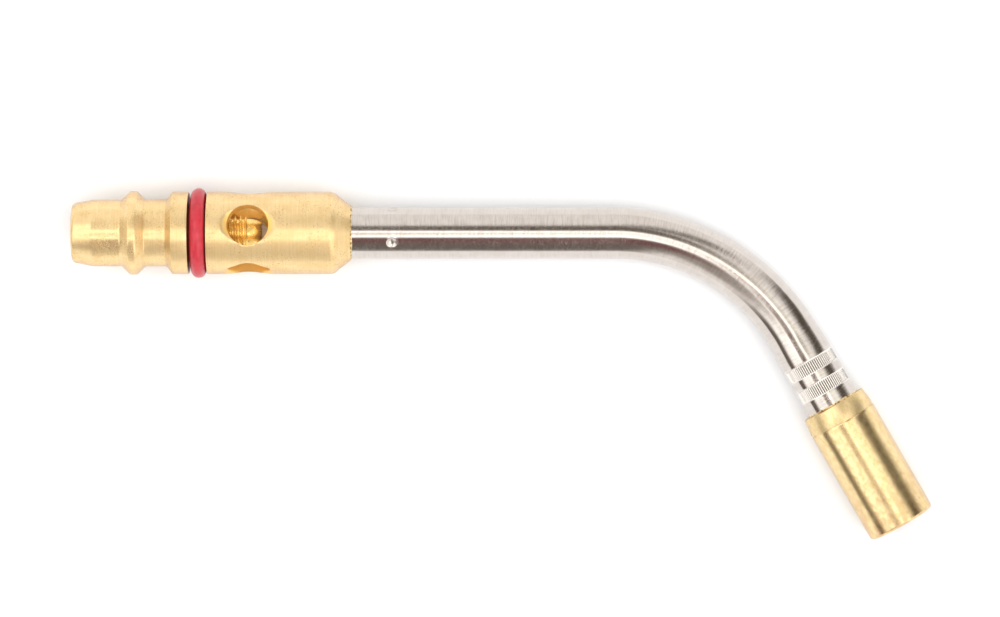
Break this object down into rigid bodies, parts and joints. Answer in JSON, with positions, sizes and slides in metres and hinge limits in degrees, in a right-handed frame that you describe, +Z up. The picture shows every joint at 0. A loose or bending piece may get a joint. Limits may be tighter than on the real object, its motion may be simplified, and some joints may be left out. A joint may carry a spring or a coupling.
{
  "type": "air-acetylene torch tip",
  "caption": "Swirl torch tip: brass quick-connect end with O-ring and air ports, gas jet inside, stainless mixing tube bent 60 degrees, brass burner cap.",
  "frame": {"origin": "centre of the connector's nose face, where the gas inlet opens, on the connector's axis", "axes": "+X along the connector towards the burner, the tube bends towards -Y in the plane z = 0, +Z up as the tip lies flat"},
  "size_m": [0.1996, 0.0818, 0.021],
  "materials": {
    "connector_brass": "turned, satin, with fine tool marks",
    "burner_brass": "drawn brass, mottled and slightly dull",
    "inner_brass": "machined, slightly tarnished",
    "stainless": "polished along its length, with fine cross scratches",
    "red_silicone": "smooth satin moulding with a faint parting line",
    "sintered_bronze": "coarse sintered grain",
    "spring_steel": "bright wire",
    "silver_braze": "uneven fused fillet"
  },
  "bodies": {
    "tip": {"connector_body": "connector_brass", "o_ring": "red_silicone", "mixing_tube": "stainless", "venturi": "inner_brass", "swirl_rotor": "inner_brass", "burner_cap": "burner_brass", "rear_braze_ring": "silver_braze", "front_braze_ring": "silver_braze"},
    "filter": {"inlet_filter": "sintered_bronze"},
    "jet": {"gas_jet": "inner_brass", "filter_retaining_ring": "spring_steel"}
  },
  "joints": [
    {"name": "jet_travel", "type": "slide", "parent": "tip", "child": "filter", "axis": [-1, 0, 0], "range_m": [0, 0.0145]},
    {"name": "jet_unscrew", "type": "hinge", "parent": "filter", "child": "jet", "pos_m": [0.03, 0, 0], "axis": [-1, 0, 0], "range_deg": [0, 4180]}
  ],
  "couplings": [
    {"joint": "jet_unscrew", "follows": "jet_travel", "rad_per_m": 5026.6}
  ]
}
